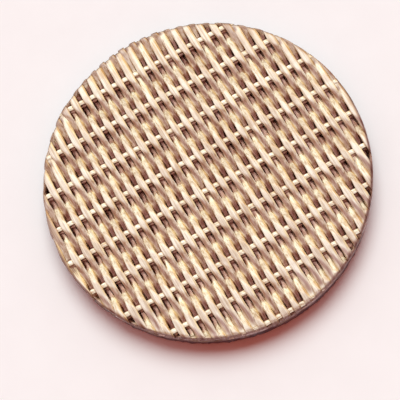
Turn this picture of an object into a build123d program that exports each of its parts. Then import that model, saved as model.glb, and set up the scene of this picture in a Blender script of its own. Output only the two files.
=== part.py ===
from build123d import *
import os
from math import ceil, hypot, radians, tan

# A round filter disc of sintered metal: a layer of fibre felt under two layers of
# plain Dutch weave, laid crosswise, all rolled flat and sheared to one diameter.
# Millimetres, +Z up, origin at the middle of the bottom face.

# Driving dimensions of the disc
DISC_DIAMETER = 20.0
FELT_THICKNESS = 0.30
WEAVE_THICKNESS = 0.65

# Driving dimensions of the weave: few straight warp wires, many weft wires side by side
WARP_PITCH = 2.21
WEFT_PITCH = 0.38
CREST_FLAT = 0.70         # length of the flat rolled on each weft crest
DIP_DEPTH = 0.33          # from a crest down to where the weft goes under a warp wire
WARP_WIDTH = 0.58         # width of a warp wire where the wefts close in on it
WARP_TOP_FLAT = 0.18      # width of the flat on top of a warp wire
WARP_TOP_DROP = 0.04      # that flat's depth below the weft crests

# Where the wires lie in the disc, and how far the face weave is out of square
FACE_SKEW_DEG = 1.46
FACE_WARP_OFFSET = -0.80  # warp wire nearest the middle
FACE_WEFT_OFFSET = -0.14  # weft wire nearest the middle, which passes over that warp
CROSS_WARP_OFFSET = 0.61
CROSS_WEFT_OFFSET = 0.0

RADIUS = DISC_DIAMETER / 2
CROSS_BASE = FELT_THICKNESS
FACE_BASE = CROSS_BASE + WEAVE_THICKNESS
DIP_HEIGHT = WEAVE_THICKNESS - DIP_DEPTH
BAR_HEIGHT = WEAVE_THICKNESS - WARP_TOP_DROP

# What a weft line shows at each warp wire, as distance along the weft and height: the
# weft's own crest, the warp wire standing up as a short bar, or in the hidden cloth a bare dip
CREST = [(-CREST_FLAT / 2, WEAVE_THICKNESS), (CREST_FLAT / 2, WEAVE_THICKNESS)]
BAR = [
    (-WARP_WIDTH / 2, DIP_HEIGHT),
    (-WARP_TOP_FLAT / 2, BAR_HEIGHT),
    (WARP_TOP_FLAT / 2, BAR_HEIGHT),
    (WARP_WIDTH / 2, DIP_HEIGHT),
]
DIP = [(0, DIP_HEIGHT)]


def disc(thickness, base=0):
    """A plain round layer that stands on the height base."""
    return Pos(0, 0, base) * Cylinder(RADIUS, thickness, align=(Align.CENTER, Align.CENTER, Align.MIN))


def weft_ridge(index, warp_offset, weft_offset, slope, under):
    """One weft wire as a full-height ridge that closes against its neighbours.

    It rises over every second warp wire and shows the outline under at the others.
    The slope is that of the warp wires, which run along X but for the skew.
    """
    x = weft_offset + (index - 0.5) * WEFT_PITCH
    reach = ceil(RADIUS / WARP_PITCH) + 1
    points = []
    for row in range(-reach, reach + 1):
        y = warp_offset + row * WARP_PITCH + slope * x
        stretch = CREST if (index + row) % 2 == 0 else under
        points += [(x, y + along, height) for along, height in stretch]
    start = (x, points[0][1], 0)
    end = (x, points[-1][1], 0)
    outline = Face(Wire.make_polygon([start, *points, end], close=True))
    return extrude(outline, amount=WEFT_PITCH * hypot(1, slope), dir=(1, slope, 0))


def dutch_weave(warp_offset, weft_offset, skew_deg, under):
    """One layer of weave on the height 0, warp wires along X, as one wall of ridges."""
    slope = -tan(radians(skew_deg))
    reach = ceil(RADIUS / WEFT_PITCH) + 1
    ridges = []
    for index in range(-reach, reach + 1):
        near_side = abs(weft_offset + index * WEFT_PITCH) - WEFT_PITCH / 2
        if near_side < RADIUS:
            ridges.append(weft_ridge(index, warp_offset, weft_offset, slope, under))
    wall = ridges[0].fuse(*ridges[1:])
    return wall & disc(WEAVE_THICKNESS)


cross_weave = dutch_weave(CROSS_WARP_OFFSET, CROSS_WEFT_OFFSET, 0, DIP)
face_weave = dutch_weave(FACE_WARP_OFFSET, FACE_WEFT_OFFSET, FACE_SKEW_DEG, BAR)

layers = {
    "fibre_felt": disc(FELT_THICKNESS),
    "cross_weave": Pos(0, 0, CROSS_BASE) * Rot(0, 0, 90) * cross_weave,
    "face_weave": Pos(0, 0, FACE_BASE) * face_weave,
}

os.makedirs("parts", exist_ok=True)
for name, layer in layers.items():
    export_step(layer, f"parts/{name}.step")
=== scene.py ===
from math import cos, pi, radians, sin, sqrt
import bpy
import numpy as np
from mathutils import Matrix, Vector


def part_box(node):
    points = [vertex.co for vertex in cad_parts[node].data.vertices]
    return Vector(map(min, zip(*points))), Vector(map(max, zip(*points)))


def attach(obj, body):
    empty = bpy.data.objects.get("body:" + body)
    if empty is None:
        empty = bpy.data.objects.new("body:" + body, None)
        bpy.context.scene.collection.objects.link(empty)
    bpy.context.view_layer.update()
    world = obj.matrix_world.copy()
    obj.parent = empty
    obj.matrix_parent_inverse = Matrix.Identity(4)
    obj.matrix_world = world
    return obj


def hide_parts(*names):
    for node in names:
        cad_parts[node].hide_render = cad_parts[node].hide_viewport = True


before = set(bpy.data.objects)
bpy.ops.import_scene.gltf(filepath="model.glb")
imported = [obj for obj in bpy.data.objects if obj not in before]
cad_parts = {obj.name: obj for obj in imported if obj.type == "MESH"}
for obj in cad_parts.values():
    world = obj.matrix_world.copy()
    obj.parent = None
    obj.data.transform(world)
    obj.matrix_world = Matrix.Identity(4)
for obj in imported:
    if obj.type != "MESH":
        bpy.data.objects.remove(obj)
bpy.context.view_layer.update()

# The looks of a round filter disc of sintered metal: two crosswise layers of plain Dutch
# weave on a layer of fibre felt. Shapes are worked out in millimetres, row frame, +Z up.
MM = 0.001
RNG = np.random.default_rng(7)

# Driving dimensions of both weaves, as in the solids: few warp wires, along X in the face
# weave, and many weft wires side by side across them
WARP_PITCH = 2.21
WEFT_PITCH = 0.38
WARP_HALF_WIDTH = 0.29

# Where the wires lie, and how far the warps of the face weave lean against X
FACE_WARP_OFFSET = -0.80
FACE_WEFT_OFFSET = -0.14
FACE_SLOPE = -0.02545
CROSS_WARP_OFFSET = 0.61
CROSS_WEFT_OFFSET = 0.0

# Sections and heights of the wires, heights above the base of their layer
WIRE_HALF = 0.19           # half the thickness of a weft wire before rolling
WIRE_HALF_WIDTH = 0.224    # over half the pitch, because rolling presses the wires together
WIRE_SQUARENESS = 2.8      # power of the superellipse that is a weft's section
DIP_TOP = 0.24             # top of a weft where it goes under a warp wire
WARP_TOP = 0.615           # top of a warp wire, just below the crests
WARP_BOTTOM = 0.04
WARP_PAD = 0.12            # how much lower a warp's top is under the wefts than between them
RAISE_STEP = 0.14          # how far a warp of the layer below holds up the dips over it
RAISE_REACH = 0.42         # how far beside that warp it does so
DIP_SINK = 0.1             # how far apart from that the dips of the face weave sink
SOLE_SOFTNESS = 0.01       # how softly the wires were pressed flat on the base

# How a weft runs from crest to crest
FEET = (0.4, 0.22)         # share of its slope that is its rounded foot, falling and rising to +Y
SHOULDER = 0.2             # and share that is its rounded shoulder
WEFT_BOW = 0.045           # how far it bows toward +X halfway between two warps
FOOT_SHIFT = 0.045         # how far it lies further toward +X beside the warp it dives under
FOOT_REACH = (0.03, 0.45)  # warp pitches from that warp over which it does
CREST_REACH = (0.1, 0.7)   # warp pitches from a crest over which it takes on the form of a dip
DIP_SPREAD = 0.16          # how much wider it is in its dips
TWIST = 1.15               # how far heights are carried along a crest for each step aside
FOOT_TWIST = 0.4           # how far they are carried the other way at the foot toward +Y
FOOT_TURN = (0.55, 1.0)    # warp pitches past the crest that are that foot
NECK = 0.2                 # how much narrower its -X half is just past the crest to +Y
NECK_REACH = (-0.08, 0.45)  # warp pitches past the crest over which it is
CREST_JITTER = 0.013       # spread of the heights of crests
DIP_JITTER = 0.032         # spread of the heights of dips
SWAY_JITTER = 0.011        # spread of the sway aside

# What rolling did to both weaves
CREST_OVERSHOOT = 0.09     # how far a crest stood above the rolled plane before
CREST_SPREAD = 1.2         # how much wider it made a crest, for each millimetre of overshoot
ROLL_SOFTNESS = 0.02       # how softly it bent the wires at the edges of its flats
WARP_LEAN = 0.03           # how far it pushed the top of a warp toward -Y

# What shearing did along the rim
RIM_STRIP = 0.27           # width of the strip that it pressed flat
PRESSED_DROP = 0.11        # how far below the crests the wefts lie there past the last warp
SMEAR_REACH = 0.14         # how far in from the rim it smeared the wire ends together
SHORT_CREST = 0.08         # how far short of the rim the face wefts' crests end toward +Y
FACE_RAGGED = 0.05         # how far short of the rim a weft's end may be, in the face weave
CROSS_RAGGED = 0.03        # and in the cross weave
ROLL_WIDTH = 0.22          # width of the strip that it bent down
ROLL_DEPTH = (0.24, 0.04)  # how far it bent the face down at the very edge, at -Y and at +Y
RIM_SKIN = 0.02            # what lies closer to the rim than this is sheared metal
SLIVER = 0.03              # a weft that reaches less than this into the disc is left out
RIM_MARGIN = 0.01          # how near to the rim a weft's side may come

# The felt's mat, with its uneven lower face and rim
MAT_GAP = 0.05             # how far inside the rim it ends
MAT_RIM_WAVE = 0.012       # height of each wave along its rim
MAT_RIM_WAVES = (31, 53, 87, 119, 160)  # how many there are round the rim, of each length
MAT_LIFT = 0.035           # mean height of its lower face
MAT_RIPPLE = 0.014         # and how far that ripples up and down
MAT_RIPPLES = 14           # number of its ripples
MAT_RIPPLE_LENGTH = (0.5, 1.6)
MAT_WALL = (0.1, 0.2)      # heights of the rings round its wall, which bulge
MAT_BULGE = 0.001          # and how far they do, as a share of the radius
MAT_BULGES = 71            # number of bulges in each ring
MAT_BULGE_TURN = 40        # how far they turn with height, in radians for each millimetre

# Its loose fibres
FIBRES = 2200
FIBRE_HALF = 0.02          # half the thickness of a fibre
FIBRE_LENGTH = (1.5, 5)
FIBRE_BEND = 0.35          # spread of how it bends, in radians for each millimetre
FIBRE_DEPTH = 0.03         # how deep it may lie in the mat
FIBRE_WAVE = 0.008         # half the height that it wanders up and down
FIBRE_WAVE_TURN = 3        # and how fast, in radians for each millimetre
FIBRE_START_GAP = 0.3      # how far inside the rim it starts
FIBRE_GAP = 0.03           # and how far inside it ends

# How finely the pieces are meshed: steps along the wires, and points round them
FACE_WEFT_STEP = 0.11
FACE_WEFT_POINTS = 18
FACE_WARP_STEP = 0.095
CROSS_WEFT_STEP = 0.2
CROSS_WEFT_POINTS = 12
CROSS_WARP_STEP = 0.3
FEWEST_RINGS = 6
SPARE_ROWS = 3             # how many warps more than fit are numbered to each side
SPARE_WEFTS = 2            # and how many wefts more
MAT_POINTS = 360
MAT_RINGS = 48             # on its lower face
MAT_MIDDLE = 0.02          # share of the radius where they end
MAT_TOP = (1.0, 0.5, MAT_MIDDLE)  # shares of the radius of the rings on its flat top
FIBRE_STEPS = 9
FIBRE_POINTS = 4
FEWEST_FIBRE_STEPS = 3


def box_mm(name):
    """Radius, lowest and highest point of a round node of the frame, in millimetres."""
    low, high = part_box(name)
    return (high.x - low.x) / 2 / MM, low.z / MM, high.z / MM


RADIUS, FACE_BASE, FACE_TOP = box_mm("face_weave")
_, CROSS_BASE, CROSS_TOP = box_mm("cross_weave")
_, FELT_BASE, FELT_TOP = box_mm("fibre_felt")
LAYER = FACE_TOP - FACE_BASE

# A weft point's place on its wire: pitches aside, warp pitches past its crest toward +Y,
# and 1 where it is a weft's open end past the last warp on that side
PLACE = "wire_place"
OPEN_END = 0.3             # warp pitches past the last warp over which that sets in


# Small helpers for shapes

def smooth_min(value, limit, softness):
    """value, but never above limit, with a soft bend of the given size."""
    return -softness * np.logaddexp(-value / softness, -limit / softness)


def smooth_max(value, limit, softness):
    """value, but never below limit, with a soft bend of the given size."""
    return softness * np.logaddexp(value / softness, limit / softness)


def share_between(value, start, end):
    """0 to 1 as value goes from start to end."""
    return np.clip((value - start) / (end - start), 0, 1)


def bump(value, reach):
    """A soft bump from 0 up to 1 and back to 0 between the two values of reach."""
    return np.sin(pi * share_between(value, *reach)) ** 2


def slope_share(share, foot):
    """0 to 1 along a straight slope from a dip to a crest, with a rounded foot and shoulder."""
    steepness = 1 / (1 - (foot + SHOULDER) / 2)
    start = steepness * share**2 / (2 * foot)
    middle = steepness * (share - foot / 2)
    end = 1 - steepness * (1 - share) ** 2 / (2 * SHOULDER)
    return np.where(share < foot, start, np.where(share > 1 - SHOULDER, end, middle))


def crest_share(past_crest):
    """1 on a weft's crests, falling softly to 0 toward its dips."""
    fall = share_between(np.abs(past_crest), *CREST_REACH)
    return 1 - fall**2 * (3 - 2 * fall)


def superellipse(points, power):
    """Unit points round a superellipse, as sideways and upward parts."""
    angle = np.linspace(0, 2 * pi, points, endpoint=False)
    across = np.sign(np.cos(angle)) * np.abs(np.cos(angle)) ** (2 / power)
    up = np.sign(np.sin(angle)) * np.abs(np.sin(angle)) ** (2 / power)
    return across, up


def mirrored(half):
    """Points round a closed section, from its right half listed from the top down."""
    right = np.array(half, float)
    left = right[1:-1][::-1] * (-1, 1)
    return np.concatenate([right[::-1], left[::-1]])


# A warp wire's section: squeezed between the crests it is narrow at the top
WARP_SECTION = mirrored(
    [
        (0, 1),
        (0.34, 1),
        (0.43, 0.96),
        (0.5, 0.86),
        (0.56, 0.68),
        (0.63, 0.45),
        (0.78, 0.2),
        (1, 0),
        (0.95, -0.4),
        (0.75, -0.75),
        (0.4, -0.96),
        (0, -1),
    ]
)


def tube_faces(first, count, around):
    """Faces of a tube of count rings, from point number first: its side and its two ends.

    The middle points of the ends are numbered after the last ring.
    """
    ring = np.arange(count - 1)[:, None] * around + first
    point = np.arange(around)[None, :]
    following = (point + 1) % around
    side = [ring + point, ring + following, ring + around + following, ring + around + point]
    last = first + (count - 1) * around
    low_middle = last + around
    ends = []
    for spot in range(around):
        after = (spot + 1) % around
        ends.append([low_middle, first + after, first + spot])
        ends.append([low_middle + 1, last + spot, last + after])
    return np.stack(side, -1).reshape(-1, 4).tolist(), ends


def mesh_from_tubes(name, tubes, places=None):
    """One object from closed tubes, each an array of rings of points in millimetres.

    Its second material is on the tubes' ends and along the rim. places gives each point's
    place on its wire, which the wire's material reads.
    """
    points = []
    faces = []
    is_end = []
    for rings in tubes:
        count, around, _ = rings.shape
        side, ends = tube_faces(sum(map(len, points)), count, around)
        faces += side + ends
        is_end += [False] * len(side) + [True] * len(ends)
        points += [rings.reshape(-1, 3), np.stack([rings[0].mean(0), rings[-1].mean(0)])]
    points = np.concatenate(points)
    mesh = bpy.data.meshes.new(name)
    mesh.from_pydata((points * MM).tolist(), [], faces)
    if places:
        middles = np.zeros((2, 3))
        values = np.concatenate([part for place in places for part in (place.reshape(-1, 3), middles)])
        spots = mesh.attributes.new(PLACE, "FLOAT_VECTOR", "POINT")
        spots.data.foreach_set("vector", values.astype(np.float32).ravel())
    far = np.hypot(points[:, 0], points[:, 1])
    is_end = np.array(is_end)
    is_sheared = is_end | [min(far[face]) > RADIUS - RIM_SKIN for face in faces]
    mesh.polygons.foreach_set("use_smooth", ~is_end)
    mesh.polygons.foreach_set("material_index", is_sheared.astype(np.int32))
    mesh.validate()
    piece = bpy.data.objects.new(name, mesh)
    bpy.context.scene.collection.objects.link(piece)
    return piece


class Cloth:
    """One layer of plain Dutch weave, warps along X. Heights are above the layer's base.

    raised_at is where a warp of the layer below holds up the wefts, by raise_step at their
    dips. Apart from that, all dips sink by sink.
    """

    def __init__(self, warp_offset, weft_offset, slope=0.0, raised_at=0.0, raise_step=0.0, sink=0.0):
        self.warp_offset = warp_offset
        self.weft_offset = weft_offset
        self.slope = slope
        self.raised_at = raised_at
        self.raise_step = raise_step
        self.sink = sink
        self.rows = int(RADIUS / WARP_PITCH) + SPARE_ROWS
        self.wefts = int(RADIUS / WEFT_PITCH) + SPARE_WEFTS
        size = (2 * self.wefts + 1, 2 * self.rows + 1)
        self.crest_jitter = RNG.normal(0, CREST_JITTER, size)
        self.dip_jitter = RNG.normal(0, DIP_JITTER, size)
        self.sway = RNG.normal(0, SWAY_JITTER, size)

    def warp_at(self, row):
        """Where a warp's middle line crosses the Y axis."""
        return self.warp_offset + row * WARP_PITCH

    def weft_at(self, index):
        """Where a weft's middle line crosses the X axis."""
        return self.weft_offset + index * WEFT_PITCH

    def row_at(self, x, y):
        """Place of a point among the warps: a whole number on a warp's middle line."""
        return (y - self.warp_offset - self.slope * x) / WARP_PITCH

    def warps_inside(self):
        """The numbers of the warps that lie in the disc with all their width."""
        rows = range(-self.rows, self.rows + 1)
        return [row for row in rows if abs(self.warp_at(row)) < RADIUS - WARP_HALF_WIDTH]

    def wefts_inside(self):
        """The numbers of the wefts that lie in the disc with more than a sliver."""
        wefts = range(-self.wefts, self.wefts + 1)
        return [index for index in wefts if abs(self.weft_at(index)) - WIRE_HALF < RADIUS - SLIVER]

    def is_crossed(self, x, row):
        """Whether a warp crosses a weft there, inside the pressed strip along the rim."""
        return np.hypot(x, self.warp_at(row) + self.slope * x) < RADIUS - RIM_STRIP

    def last_row(self, x):
        """The last warp toward +Y that crosses a weft."""
        crossed = [row for row in range(-self.rows, self.rows + 1) if self.is_crossed(x, row)]
        return max(crossed, default=0)

    def lift(self, x):
        """How much the layer below holds up a weft at its dips."""
        steps = (x - self.raised_at) / WARP_PITCH
        beside = steps - np.round(steps)
        return self.raise_step * np.exp(-((beside * WARP_PITCH / RAISE_REACH) ** 2)) - self.sink

    def height_at(self, index, row):
        """Height of a weft's middle line where it passes a warp, over or under it."""
        middle = self.weft_at(index)
        spot = (index + self.wefts, row + self.rows)
        crest = LAYER + CREST_OVERSHOOT - WIRE_HALF
        dip = DIP_TOP - WIRE_HALF + self.lift(middle)
        pressed = LAYER - PRESSED_DROP - WIRE_HALF
        low = np.where(self.is_crossed(middle, row), dip, pressed)
        is_over = (index + row) % 2 == 0
        return np.where(is_over, crest + self.crest_jitter[spot], low + self.dip_jitter[spot])

    def weft_path(self, index, x, y):
        """Height of a weft's middle line, and how far it sways toward +X."""
        row = self.row_at(x, y)
        low = np.clip(np.floor(row).astype(int), -self.rows, self.rows - 1)
        share = np.clip(row - low, 0, 1)
        falls = (index + low) % 2 == 0
        shift = FOOT_SHIFT * bump(np.where(falls, 1 - share, share), FOOT_REACH)
        share = np.where(falls, 1 - slope_share(1 - share, FEET[0]), slope_share(share, FEET[1]))
        height = self.height_at(index, low) * (1 - share) + self.height_at(index, low + 1) * share
        strip = np.clip((np.hypot(x, y) - RADIUS + RIM_STRIP) / RIM_STRIP, 0, 1)
        height = height * (1 - strip) + np.maximum(height, LAYER - WIRE_HALF) * strip
        sways = self.sway[index + self.wefts]
        sway = sways[low + self.rows] * (1 - share) + sways[low + 1 + self.rows] * share
        return height, sway + WEFT_BOW * np.sin(pi * row) ** 2 + shift

    def weft(self, index, step, points, ragged, short_crest=0.0, smears_up=False):
        """Rings of one weft wire, cut to the disc, and each point's place on the wire.

        Its sheared ends are smeared down to the layer's base, and up to its top if smears_up.
        """
        across, up = superellipse(points, WIRE_SQUARENESS)
        middle = self.weft_at(index)
        aside = WIRE_HALF_WIDTH * across
        x = np.clip(middle + aside, -RADIUS + RIM_MARGIN, RADIUS - RIM_MARGIN)
        reach = np.sqrt(RADIUS**2 - x**2)
        share = np.linspace(-1, 1, max(FEWEST_RINGS, int(2 * reach.max() / step)))[:, None]
        low_cut, high_cut = RNG.uniform(0, ragged, 2)
        last_row = self.last_row(middle)
        ends_in_dip = (index + last_row) % 2 == 1
        if not ends_in_dip:
            high_cut += short_crest
        y = share * reach - share * np.where(share > 0, high_cut, low_cut)

        past_crest = self.row_at(middle, y) + index
        past_crest = past_crest - 2 * np.round(past_crest / 2)
        near_crest = crest_share(past_crest)
        twist = TWIST * near_crest - FOOT_TWIST * bump(past_crest, FOOT_TURN)
        height, sway = self.weft_path(index, x, y + twist * aside)
        overshoot = np.clip(height + WIRE_HALF - LAYER, 0, None)
        neck = NECK * bump(past_crest, NECK_REACH) * (aside < 0)
        width = 1 + CREST_SPREAD * overshoot + DIP_SPREAD * (1 - near_crest) - neck
        x = middle + (x - middle) * width + sway
        z = smooth_min(height + WIRE_HALF * up, LAYER, ROLL_SOFTNESS)
        z = smooth_max(z, 0.0, SOLE_SOFTNESS)

        smear = np.clip(1 - (RADIUS - np.hypot(x, y)) / SMEAR_REACH, 0, 1)
        below = np.clip(-up, 0, 1)
        above = np.clip(up, 0, 1) * smears_up
        smeared = height * (1 - below) + (LAYER - height) * above
        z = np.where((below > 0) | (above > 0), z * (1 - smear) + smeared * smear, z)
        open_end = ends_in_dip * np.clip((self.row_at(middle, y) - last_row) / OPEN_END, 0, 1)
        place = np.stack([(x - middle) / WEFT_PITCH, past_crest, open_end], -1)
        return np.stack([x, y, z], -1), place

    def warp(self, row, step):
        """Rings of one warp wire, cut to the disc. Its top stands up between the crests."""
        across, up = WARP_SECTION.T
        aside = self.warp_at(row) + WARP_HALF_WIDTH * across - WARP_LEAN * np.clip(up, 0, 1)
        spread = 1 + self.slope**2
        root = np.sqrt(spread * RADIUS**2 - aside**2)
        start = (-self.slope * aside - root) / spread
        end = (-self.slope * aside + root) / spread
        share = np.linspace(0, 1, max(FEWEST_RINGS, int((end - start).max() / step)))[:, None]
        x = start * (1 - share) + end * share
        y = aside + self.slope * x
        past_crest = (x - self.weft_offset) / WEFT_PITCH + row
        bare = 0.5 - 0.5 * np.cos(pi * past_crest)
        half = (WARP_TOP - WARP_BOTTOM) / 2
        z = WARP_BOTTOM + half + half * up
        z = z - np.where(up > 0, (1 - bare) * WARP_PAD * up, 0)
        return np.stack([x, y, z], -1)


def within_rim(rings):
    """The x, y and z of rings, with what lies outside the disc drawn back to its rim."""
    x, y, z = np.moveaxis(rings, -1, 0)
    shrink = RADIUS / np.maximum(np.hypot(x, y), RADIUS)
    return x * shrink, y * shrink, z


def in_cross_layer(rings):
    """Rings of a cloth, kept within the rim, turned a quarter and lifted to the inner layer."""
    x, y, z = within_rim(rings)
    return np.stack([-y, x, z + CROSS_BASE], -1)


def in_face_layer(rings):
    """Rings of a cloth, kept within the rim, lifted to the face and bent down along the rim."""
    x, y, z = within_rim(rings)
    z = z + FACE_BASE
    strip = np.clip(1 - (RADIUS - np.hypot(x, y)) / ROLL_WIDTH, 0, 1)
    top_share = np.clip((z - FACE_BASE) / LAYER, 0, 1)
    depth = np.interp(y, (-RADIUS, RADIUS), ROLL_DEPTH)
    return np.stack([x, y, z - depth * strip**2 * top_share], -1)


# Small helpers for materials: a value is a number or colour, or another node's output

def node(tree, kind, inputs=None, **settings):
    """A new node with these settings, and with values for its inputs by name or number."""
    made = tree.nodes.new(kind)
    for name, setting in settings.items():
        setattr(made, name, setting)
    for name, value in (inputs or {}).items():
        if isinstance(value, bpy.types.NodeSocket):
            tree.links.new(value, made.inputs[name])
        else:
            made.inputs[name].default_value = value
    return made


def maths(tree, operation, *values):
    """The outcome of a math node."""
    return node(tree, "ShaderNodeMath", dict(enumerate(values)), operation=operation).outputs["Value"]


def scaled(tree, value, start, end, low=0.0, high=1.0, kind="LINEAR"):
    """low to high, as value goes from start to end."""
    inputs = {"Value": value, "From Min": start, "From Max": end, "To Min": low, "To Max": high}
    return node(tree, "ShaderNodeMapRange", inputs, interpolation_type=kind).outputs["Result"]


def eased(tree, value, start, end):
    """0 to 1 with soft ends, as value goes from start to end."""
    return scaled(tree, value, start, end, kind="SMOOTHSTEP")


def ramp(tree, value, stops):
    """The colour at value on a ramp with stops of position and linear colour."""
    made = node(tree, "ShaderNodeValToRGB", {"Fac": value})
    band = made.color_ramp
    while len(band.elements) < len(stops):
        band.elements.new(0.5)
    for element, (place, colour) in zip(band.elements, stops):
        element.position = place
        element.color = (*colour, 1)
    return made.outputs["Color"]


def profile(tree, value, stops):
    """The level at value between stops of position and level."""
    return ramp(tree, value, [(place, (level, level, level)) for place, level in stops])


def mixed(tree, factor, first, second, blend="MIX"):
    """Two colours mixed, only the first where factor is 0."""
    first, second = ((*side, 1) if isinstance(side, tuple) else side for side in (first, second))
    inputs = {"Factor": factor, "A": first, "B": second}
    made = node(tree, "ShaderNodeMix", inputs, data_type="RGBA", blend_type=blend)
    return made.outputs["Result"]


def stained(tree, colour, factor, stain):
    """colour, multiplied by the stain where factor is 1."""
    return mixed(tree, factor, colour, stain, "MULTIPLY")


def noise(tree, position, scale, detail, roughness=0.5):
    """Smooth noise of about 0 to 1."""
    inputs = {"Vector": position, "Scale": scale, "Detail": detail, "Roughness": roughness}
    return node(tree, "ShaderNodeTexNoise", inputs).outputs["Fac"]


def parts_of(tree, vector):
    """The X, Y and Z of a vector."""
    return tuple(node(tree, "ShaderNodeSeparateXYZ", {"Vector": vector}).outputs)


def new_material(name):
    """A new material, its node tree, its shader and the position on its piece."""
    material = bpy.data.materials.new(name)
    material.use_nodes = True
    tree = material.node_tree
    position = node(tree, "ShaderNodeTexCoord").outputs["Object"]
    return material, tree, tree.nodes["Principled BSDF"], position


def dress_metal(tree, shader, colour, roughness, relief, strength, depth):
    """Makes a shader a metal with this colour and roughness, in relief by a depth in millimetres."""
    inputs = {"Height": relief, "Strength": strength, "Distance": depth * MM}
    normal = node(tree, "ShaderNodeBump", inputs).outputs["Normal"]
    tree.links.new(colour, shader.inputs["Base Color"])
    tree.links.new(roughness, shader.inputs["Roughness"])
    tree.links.new(normal, shader.inputs["Normal"])
    shader.inputs["Metallic"].default_value = 1


# Colours of the wires, by height: the darkest, low down, is painted shade in the crevices and on the
# warps' flanks; the cream part way up is a painted highlight on the slopes; the brightest is a painted
# highlight on the warps' tops
SHADED_CREVICE = (0.58, 0.39, 0.36)
TAN = (0.69, 0.52, 0.43)
CREAM = (0.94, 0.885, 0.75)
BEIGE = (0.825, 0.745, 0.69)
BRIGHT = (0.96, 0.92, 0.83)
FACE_WEFT_COLOURS = [(0.24, SHADED_CREVICE), (0.34, TAN), (0.42, CREAM), (1.0, BEIGE)]
FACE_WARP_COLOURS = [(0.0, SHADED_CREVICE), (0.55, SHADED_CREVICE), (0.85, CREAM), (1.0, BRIGHT)]
# The inner weave's colours, dark and darkest low down: painted shade, as this buried layer shows only
# along the rim
INNER_COLOURS = [(0.0, (0.14, 0.06, 0.07)), (1.0, (0.3, 0.19, 0.17))]
# The sheared metal along the rim: darker than the face, and darker still toward the bottom as painted
# shade near the floor
CUT_COLOURS = [
    (0.0, (0.14, 0.075, 0.1)),
    (0.45, (0.19, 0.11, 0.135)),
    (0.62, (0.42, 0.32, 0.335)),
    (1.0, (0.54, 0.45, 0.45)),
]
WEFT_DEEP = 0.15           # height above the layer's base where the colours of its wefts start
WARP_DEEP = 0.3            # and where those of its warps do
COLOUR_UNEVEN = 0.24       # how unevenly streaks shift the colours by height

# The streaks that drawing left along the wires
STREAK_WIDTH = 0.11
STREAK_LENGTH = 4
STREAK_DETAIL = (1.5, 0.6)  # detail and roughness of the noise that draws them
STREAK_SHADES = [(0.36, (0.72, 0.62, 0.54)), (0.56, (1.0, 1.0, 1.0))]
STREAK_RANGE = (0.3, 0.7)  # between which levels of that noise the metal turns duller
SCRATCH_DEPTH = 0.03

# The uneven heat tint over all wires: size of its patches, and its colour
PATCH_SIZE = 0.9
PATCH_DETAIL = 2.0
PATCH_SHOWS = [(0.38, 1), (0.58, 0)]
PATCH_COLOUR = (0.86, 0.8, 0.77)

# A band of painted shade across the falling side of each weft: how far it moves
# aside for each warp pitch and up to which place, where it starts, its softness, and where
# along the wire it shows
BAND_SLANT = 1.3
BAND_TURN = 0.58
BAND_START = 0.58
BAND_EDGE = (0.42, 0.1)
BAND_SHOWS = [(0.12, 0), (0.26, 1), (0.78, 1), (0.9, 0)]
FALLING_SIDE_SHADE = (0.62, 0.48, 0.49)
OPEN_END_DARKENING = 0.45           # how far the wefts' open ends take on the band's colour instead

# A painted golden glint along each weft's edge toward +X: between which places aside it sets
# in, and where along the wire it shows, from one warp pitch before the crest to one past it
EDGE_START = (0.2, 0.5)
EDGE_SHOWS = [(0.33, 0), (0.37, 1), (0.45, 1), (0.5, 0.25), (0.56, 1), (0.78, 1), (0.88, 0)]
GLINT_COLOUR = (1.0, 0.91, 0.68)

# Painted shade on each weft's -X half at its foot, in the pit where it comes out from under a warp, given
# in the same way
PIT_SHADE_START = (0.25, -0.12)
PIT_SHADE_SHOWS = [(0.835, 0), (0.87, 1), (0.9, 1), (0.94, 0)]
PIT_SHADE_COLOUR = (0.6, 0.5, 0.52)

# The strip along the rim that shearing left dull, and painted shade on the bent edge on
# the side toward -Y: how far from the rim each starts and is full, and its colour
WORN_REACH = (0.3, 0.06)
WORN_COLOUR = (0.72, 0.63, 0.6)
BENT_REACH = (0.19, 0.09)
BENT_SIDE = (5.0, -4.0)
BENT_EDGE_SHADE_COLOUR = (0.46, 0.33, 0.36)

# The felt, with painted shade along its sheared rim
FELT_GRAIN = 0.08
FELT_DETAIL = (5.0, 0.7)   # detail and roughness of its noise
FELT_SHADES = [(0.3, (0.22, 0.17, 0.14)), (0.7, (0.6, 0.53, 0.46))]
FELT_ROUGHNESS = (0.35, 0.65)
FELT_SCRATCH = 0.6
FELT_SCRATCH_DEPTH = 0.02
FELT_RIM_SHADE_REACH = (0.2, 0.08)
FELT_RIM_SHADE_COLOUR = (0.36, 0.24, 0.32)


def falling_shade_band(tree, aside, past_crest, open_end):
    """0 to 1 over a weft's band of painted shade on its falling side, and over its open end."""
    slant = maths(tree, "MULTIPLY_ADD", maths(tree, "MAXIMUM", past_crest, -BAND_TURN), BAND_SLANT, aside)
    away = maths(tree, "ABSOLUTE", maths(tree, "ADD", slant, BAND_START))
    shows = profile(tree, maths(tree, "MULTIPLY", past_crest, -1), BAND_SHOWS)
    band = maths(tree, "MULTIPLY", eased(tree, away, *BAND_EDGE), shows)
    return node(tree, "ShaderNodeMix", {"Factor": open_end, "A": band, "B": OPEN_END_DARKENING}).outputs["Result"]


def edge_mark(tree, aside, past_crest, start, stops):
    """0 to 1 over a mark along one edge of a weft."""
    shows = profile(tree, scaled(tree, past_crest, -1, 1), stops)
    return maths(tree, "MULTIPLY", eased(tree, aside, *start), shows)


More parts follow.
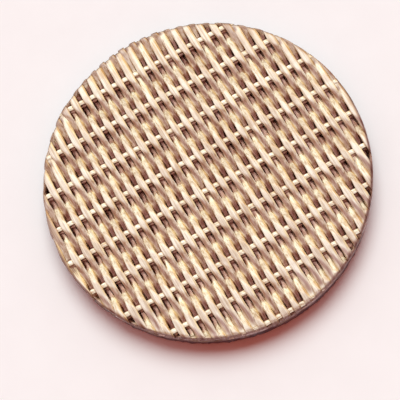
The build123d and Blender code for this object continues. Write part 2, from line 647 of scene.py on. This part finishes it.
def rim_strip(tree, position, reach):
    """0 to 1 over a strip along the rim, from a point's distance to the disc's axis."""
    flat = node(tree, "ShaderNodeVectorMath", {0: position, 1: (1, 1, 0)}, operation="MULTIPLY")
    far = node(tree, "ShaderNodeVectorMath", {0: flat.outputs["Vector"]}, operation="LENGTH")
    start, full = ((RADIUS - inward) * MM for inward in reach)
    return eased(tree, far.outputs["Value"], start, full)


def shaded_bent_edge(tree, position):
    """0 to 1 over the painted shade on the bent edge of the rim, only on the side toward -Y."""
    start, full = (place * MM for place in BENT_SIDE)
    side = eased(tree, parts_of(tree, position)[1], start, full)
    return maths(tree, "MULTIPLY", side, rim_strip(tree, position, BENT_REACH))


def marked(tree, colour, position):
    """The colour of a face weft, with painted shade on its falling side and at its foot, a painted golden
    glint along its +X edge, the wear of shearing along the rim, and painted shade on the bent rim edge
    toward -Y.
    """
    place = node(tree, "ShaderNodeAttribute", attribute_name=PLACE)
    aside, past_crest, open_end = parts_of(tree, place.outputs["Vector"])
    # Painted shade on the falling side, and the darker open end
    colour = stained(tree, colour, falling_shade_band(tree, aside, past_crest, open_end), FALLING_SIDE_SHADE)
    # A painted golden glint along the +X edge
    golden = edge_mark(tree, aside, past_crest, EDGE_START, EDGE_SHOWS)
    colour = stained(tree, colour, golden, GLINT_COLOUR)
    # Painted shade in the pit at the foot
    shaded_pit = edge_mark(tree, aside, past_crest, PIT_SHADE_START, PIT_SHADE_SHOWS)
    colour = stained(tree, colour, shaded_pit, PIT_SHADE_COLOUR)
    colour = stained(tree, colour, rim_strip(tree, position, WORN_REACH), WORN_COLOUR)
    # Painted shade on the bent rim edge toward -Y
    return stained(tree, colour, shaded_bent_edge(tree, position), BENT_EDGE_SHADE_COLOUR)


def wire_metal(name, along, heights, colours, roughness, scratch, is_marked=False):
    """Rolled wire: colour by height, painted shade low down and painted highlight higher up, with drawn
    streaks along the wire.

    along is the wire's own direction, X or Y, or that of the shearing, Z; heights are the
    lowest and highest point of the colours, in millimetres; is_marked adds the face wefts'
    wear along the rim and their painted shade and golden glint.
    """
    material, tree, shader, position = new_material(name)
    fine, long = 1 / (STREAK_WIDTH * MM), 1 / (STREAK_LENGTH * MM)
    scale = [long if axis == along else fine for axis in "XYZ"]
    stretched = node(tree, "ShaderNodeMapping", {"Vector": position, "Scale": scale})
    streaks = noise(tree, stretched.outputs["Vector"], 1.0, *STREAK_DETAIL)

    low, high = (height * MM for height in heights)
    level = scaled(tree, parts_of(tree, position)[2], low, high)
    level = maths(tree, "SUBTRACT", level, COLOUR_UNEVEN / 2)
    level = maths(tree, "MULTIPLY_ADD", streaks, COLOUR_UNEVEN, level)
    # Colour by height: painted shade low down, painted highlight higher up
    colour = mixed(tree, 1, ramp(tree, level, colours), ramp(tree, streaks, STREAK_SHADES), "MULTIPLY")
    patches = profile(tree, noise(tree, position, 1 / (PATCH_SIZE * MM), PATCH_DETAIL), PATCH_SHOWS)
    colour = stained(tree, colour, patches, PATCH_COLOUR)
    if is_marked:
        colour = marked(tree, colour, position)
    rough = scaled(tree, streaks, *STREAK_RANGE, *roughness)
    dress_metal(tree, shader, colour, rough, streaks, scratch, SCRATCH_DEPTH)
    return material


def felt_metal():
    """A mat of sintered fibres, with painted shade along its rim."""
    material, tree, shader, position = new_material("sintered_fibres")
    grain = noise(tree, position, 1 / (FELT_GRAIN * MM), *FELT_DETAIL)
    # Painted shade along the felt's sheared rim
    sheared = rim_strip(tree, position, FELT_RIM_SHADE_REACH)
    colour = stained(tree, ramp(tree, grain, FELT_SHADES), sheared, FELT_RIM_SHADE_COLOUR)
    rough = scaled(tree, grain, 0, 1, *FELT_ROUGHNESS)
    dress_metal(tree, shader, colour, rough, grain, FELT_SCRATCH, FELT_SCRATCH_DEPTH)
    return material


face_weft_metal = wire_metal(
    "rolled_weft_wire",
    along="Y",
    heights=(FACE_BASE + WEFT_DEEP, FACE_TOP),
    colours=FACE_WEFT_COLOURS,
    roughness=(0.24, 0.42),
    scratch=0.8,
    is_marked=True,
)
face_warp_metal = wire_metal(
    "rolled_warp_wire",
    along="X",
    heights=(FACE_BASE + WARP_DEEP, FACE_BASE + WARP_TOP),
    colours=FACE_WARP_COLOURS,
    roughness=(0.2, 0.36),
    scratch=0.3,
)
cut_metal = wire_metal(
    "sheared_wire_ends",
    along="Z",
    heights=(FELT_TOP, FACE_TOP),
    colours=CUT_COLOURS,
    roughness=(0.3, 0.5),
    scratch=0.6,
)
cross_weft_metal, cross_warp_metal = (
    wire_metal(
        name,
        along=along,
        heights=(CROSS_BASE, CROSS_TOP),
        colours=INNER_COLOURS,
        roughness=(0.3, 0.5),
        scratch=0.3,
    )
    for name, along in (("inner_weft_wire", "X"), ("inner_warp_wire", "Y"))
)
fibre_metal = felt_metal()


# The two weaves

def dress(piece, materials, replaced):
    """Gives a piece its materials, and says which node of the frame it stands for."""
    for material in materials:
        piece.data.materials.append(material)
    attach(piece, "root")
    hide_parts(replaced)


face = Cloth(
    FACE_WARP_OFFSET,
    FACE_WEFT_OFFSET,
    slope=FACE_SLOPE,
    raised_at=-CROSS_WARP_OFFSET,
    raise_step=RAISE_STEP,
    sink=DIP_SINK,
)
cross = Cloth(CROSS_WARP_OFFSET, CROSS_WEFT_OFFSET)

for parity, piece_name in ((0, "face_weft_even"), (1, "face_weft_odd")):
    tubes = []
    places = []
    for index in face.wefts_inside():
        if index % 2 == parity:
            rings, place = face.weft(index, FACE_WEFT_STEP, FACE_WEFT_POINTS, FACE_RAGGED, SHORT_CREST)
            tubes.append(in_face_layer(rings))
            places.append(place)
    piece = mesh_from_tubes(piece_name, tubes, places)
    dress(piece, [face_weft_metal, cut_metal], "face_weave")

tubes = [in_face_layer(face.warp(row, FACE_WARP_STEP)) for row in face.warps_inside()]
piece = mesh_from_tubes("face_warp", tubes)
dress(piece, [face_warp_metal, cut_metal], "face_weave")

tubes = []
for index in cross.wefts_inside():
    rings, _ = cross.weft(index, CROSS_WEFT_STEP, CROSS_WEFT_POINTS, CROSS_RAGGED, smears_up=True)
    tubes.append(in_cross_layer(rings))
piece = mesh_from_tubes("cross_weft", tubes)
dress(piece, [cross_weft_metal, cut_metal], "cross_weave")

tubes = [in_cross_layer(cross.warp(row, CROSS_WARP_STEP)) for row in cross.warps_inside()]
piece = mesh_from_tubes("cross_warp", tubes)
dress(piece, [cross_warp_metal, cut_metal], "cross_weave")


# The felt: a thin mat with loose fibres on its lower face

def ripple(x, y, waves):
    """A soft uneven height of up to 1, from waves of direction, length and phase."""
    total = np.zeros_like(x)
    for turn, length, phase in waves:
        total += np.sin((x * np.cos(turn) + y * np.sin(turn)) * 2 * pi / length + phase)
    return total / len(waves)


def felt_mat():
    """The mat itself: a closed disc with an uneven rim and lower face."""
    angle = np.linspace(0, 2 * pi, MAT_POINTS, endpoint=False)
    turns = RNG.uniform(0, pi, MAT_RIPPLES)
    lengths = RNG.uniform(*MAT_RIPPLE_LENGTH, MAT_RIPPLES)
    waves = np.stack([turns, lengths, RNG.uniform(0, 2 * pi, MAT_RIPPLES)], -1)
    phases = RNG.uniform(0, 2 * pi, len(MAT_RIM_WAVES))
    wiggle = sum(np.sin(angle * count + phase) for count, phase in zip(MAT_RIM_WAVES, phases))
    rim = RADIUS - MAT_GAP + MAT_RIM_WAVE * wiggle

    def ring(share, height):
        x, y = share * rim * np.cos(angle), share * rim * np.sin(angle)
        return np.stack([x, y, np.full(MAT_POINTS, height)], -1)

    rings = [ring(share, FELT_BASE + MAT_LIFT) for share in np.linspace(MAT_MIDDLE, 1, MAT_RINGS)]
    for flat in rings:
        flat[:, 2] += MAT_RIPPLE * ripple(flat[:, 0], flat[:, 1], waves)
    for height in MAT_WALL:
        bulge = 1 + MAT_BULGE * np.sin(angle * MAT_BULGES + height * MAT_BULGE_TURN)
        rings.append(ring(bulge, height))
    rings += [ring(share, FELT_TOP) for share in MAT_TOP]
    return mesh_from_tubes("felt_body", [np.stack(rings)[:, ::-1]])


def fibre():
    """Rings of one loose curved fibre, as far as it lies in the disc."""
    far = (RADIUS - FIBRE_START_GAP) * sqrt(RNG.uniform(0, 1))
    turn, heading = RNG.uniform(0, 2 * pi, 2)
    length = RNG.uniform(*FIBRE_LENGTH)
    bend = RNG.normal(0, FIBRE_BEND)
    depth = RNG.uniform(0.0, FIBRE_DEPTH)
    along = np.linspace(-0.5, 0.5, FIBRE_STEPS) * length
    facing = heading + bend * along
    x = far * cos(turn) + np.cumsum(np.cos(facing)) * length / FIBRE_STEPS
    y = far * sin(turn) + np.cumsum(np.sin(facing)) * length / FIBRE_STEPS
    z = FELT_BASE + FIBRE_HALF + depth + FIBRE_WAVE * (1 + np.sin(along * FIBRE_WAVE_TURN))
    corner = np.linspace(0, 2 * pi, FIBRE_POINTS, endpoint=False) + pi / 4
    side, up = FIBRE_HALF * np.cos(corner), FIBRE_HALF * np.sin(corner)
    rings = [
        x[:, None] - np.sin(facing)[:, None] * side,
        y[:, None] + np.cos(facing)[:, None] * side,
        z[:, None] + up,
    ]
    return np.stack(rings, -1)[np.hypot(x, y) < RADIUS - FIBRE_GAP]


dress(felt_mat(), [fibre_metal, fibre_metal], "fibre_felt")

fibres = [fibre() for _ in range(FIBRES)]
fibres = [rings for rings in fibres if len(rings) >= FEWEST_FIBRE_STEPS]
piece = mesh_from_tubes("felt_fibres", fibres)
dress(piece, [fibre_metal, fibre_metal], "fibre_felt")


# Floor, light and camera

FLOOR_HALF = 1.0           # in metres
FLOOR_GRAIN = 3            # in millimetres
FLOOR_DETAIL = 3.0
FLOOR_SHADES = [(0.3, (0.94, 0.87, 0.89)), (0.7, (0.96, 0.89, 0.91))]
FLOOR_ROUGHNESS = 0.9
FLOOR_SPECULAR = 0.1

# The key light shines softly from the side that is the top of the photograph
KEY_SIDE = Vector((0.405, 0.914, 0))
KEY_HEIGHT_DEG = 55
KEY_SPREAD_DEG = 42
KEY_STRENGTH = 2.36
KEY_COLOUR = (0.79, 1.0, 0.97)

# The brightest side of the room, a little to the left of the key light
LIGHT_SIDE = Vector((0.27, 0.963, 0))

# What the floor gets from the room: pale light from that side, and little, and red, from the
# near side, with the cosines between which one passes into the other
FILL_PALE = (0.86, 1.0, 1.02)
FILL_DIM = (0.4, 0.095, 0.065)
FILL_EDGES = (0.08, 0.45)

# What the metal mirrors: a room that is dim and warm, with other stretches laid over it in
# turn, each by its side, between which cosines to that side it sets in, and its colour
ROOM_DIM = (0.72, 0.52, 0.43)
ROOM_STRETCHES = {
    "pale half": (LIGHT_SIDE, (-0.2, 0.25), (1.33, 1.33, 1.27)),
    "bright wall": (LIGHT_SIDE, (0.36, 0.56), (1.9, 1.9, 1.64)),
    "less bright middle of it": (LIGHT_SIDE, (0.6, 0.8), (1.24, 1.2, 1.03)),
    "near wall": (-LIGHT_SIDE, (0.3, 0.65), (1.05, 0.98, 0.92)),
    "warm glow at the far right": (Vector((0.76, 0.42, 0.48)), (0.9, 1.0), (1.25, 0.9, 0.48)),
    "amber at the left": (Vector((-0.73, -0.14, 0.67)), (0.88, 0.98), (0.95, 0.7, 0.5)),
    "cooler dusk at the far left": (Vector((-0.61, 0.66, 0.42)), (0.93, 1.0), (0.8, 0.68, 0.68)),
}

# What the camera sees behind the floor
BACKDROP = (0.97, 0.9, 0.85)

# The camera at the photograph's angle, with its own turn about the line of sight
VIEW_AZIMUTH_DEG = -9.348
VIEW_ELEVATION_DEG = 72.665
VIEW_ROLL_DEG = -20.767
VIEW_DISTANCE = 71.76 * MM
VIEW_AIM = Vector((-1.041, -1.202, 1.6)) * MM
VIEW_LENS = 108
VIEW_SENSOR = 36
VIEW_CLIP = (0.001, 10)    # in metres


def lay_floor():
    """A pale floor at the height 0."""
    material, tree, shader, position = new_material("pale_floor")
    shader.inputs["Roughness"].default_value = FLOOR_ROUGHNESS
    shader.inputs["Specular IOR Level"].default_value = FLOOR_SPECULAR
    grain = noise(tree, position, 1 / (FLOOR_GRAIN * MM), FLOOR_DETAIL)
    tree.links.new(ramp(tree, grain, FLOOR_SHADES), shader.inputs["Base Color"])
    mesh = bpy.data.meshes.new("floor")
    corners = [(-1, -1), (1, -1), (1, 1), (-1, 1)]
    mesh.from_pydata([(x * FLOOR_HALF, y * FLOOR_HALF, 0) for x, y in corners], [], [(0, 1, 2, 3)])
    mesh.materials.append(material)
    floor = bpy.data.objects.new("floor", mesh)
    bpy.context.scene.collection.objects.link(floor)


def light_key():
    """The key light. The metal mirrors the pale room instead of the lamp itself."""
    lamp = bpy.data.lights.new("key", "SUN")
    lamp.angle = radians(KEY_SPREAD_DEG)
    lamp.energy = KEY_STRENGTH
    lamp.color = KEY_COLOUR
    rise = radians(KEY_HEIGHT_DEG)
    toward_key = KEY_SIDE * cos(rise) + Vector((0, 0, sin(rise)))
    key = bpy.data.objects.new("key", lamp)
    key.rotation_euler = toward_key.to_track_quat("Z", "Y").to_euler()
    key.visible_glossy = False
    bpy.context.scene.collection.objects.link(key)


def light_room():
    """The world: one light for the floor, one for what the metal mirrors, and the backdrop."""
    world = bpy.data.worlds.new("studio")
    bpy.context.scene.world = world
    world.use_nodes = True
    tree = world.node_tree
    direction = node(tree, "ShaderNodeTexCoord").outputs["Generated"]
    path = node(tree, "ShaderNodeLightPath").outputs

    def laid_over(colour, side, edges, light):
        """colour, but light where the direction is turned toward side."""
        inputs = {0: direction, 1: side.normalized()}
        product = node(tree, "ShaderNodeVectorMath", inputs, operation="DOT_PRODUCT")
        return mixed(tree, eased(tree, product.outputs["Value"], *edges), colour, light)

    room = ROOM_DIM
    for stretch in ROOM_STRETCHES.values():
        room = laid_over(room, *stretch)
    fill = laid_over(FILL_DIM, LIGHT_SIDE, FILL_EDGES, FILL_PALE)
    is_mirrored = maths(tree, "MAXIMUM", path["Is Glossy Ray"], path["Is Transmission Ray"])
    lit = mixed(tree, is_mirrored, fill, room)
    shown = mixed(tree, path["Is Camera Ray"], lit, BACKDROP)
    tree.links.new(shown, tree.nodes["Background"].inputs["Color"])


def place_camera():
    """The camera, aimed at a point near the middle of the face."""
    view = bpy.data.cameras.new("camera")
    view.sensor_width = VIEW_SENSOR
    view.lens = VIEW_LENS
    view.clip_start, view.clip_end = VIEW_CLIP
    azimuth, elevation = radians(VIEW_AZIMUTH_DEG), radians(VIEW_ELEVATION_DEG)
    toward_camera = Vector(
        (sin(azimuth) * cos(elevation), -cos(azimuth) * cos(elevation), sin(elevation))
    )
    upright = (-toward_camera).to_track_quat("-Z", "Y").to_matrix()
    turned = upright @ Matrix.Rotation(radians(VIEW_ROLL_DEG), 3, "Z")
    camera = bpy.data.objects.new("camera", view)
    camera.matrix_world = Matrix.Translation(VIEW_AIM + toward_camera * VIEW_DISTANCE) @ turned.to_4x4()
    bpy.context.scene.collection.objects.link(camera)
    bpy.context.scene.camera = camera


lay_floor()
light_key()
light_room()
place_camera()
bpy.context.scene.view_settings.view_transform = "Standard"

bpy.context.view_layer.update()
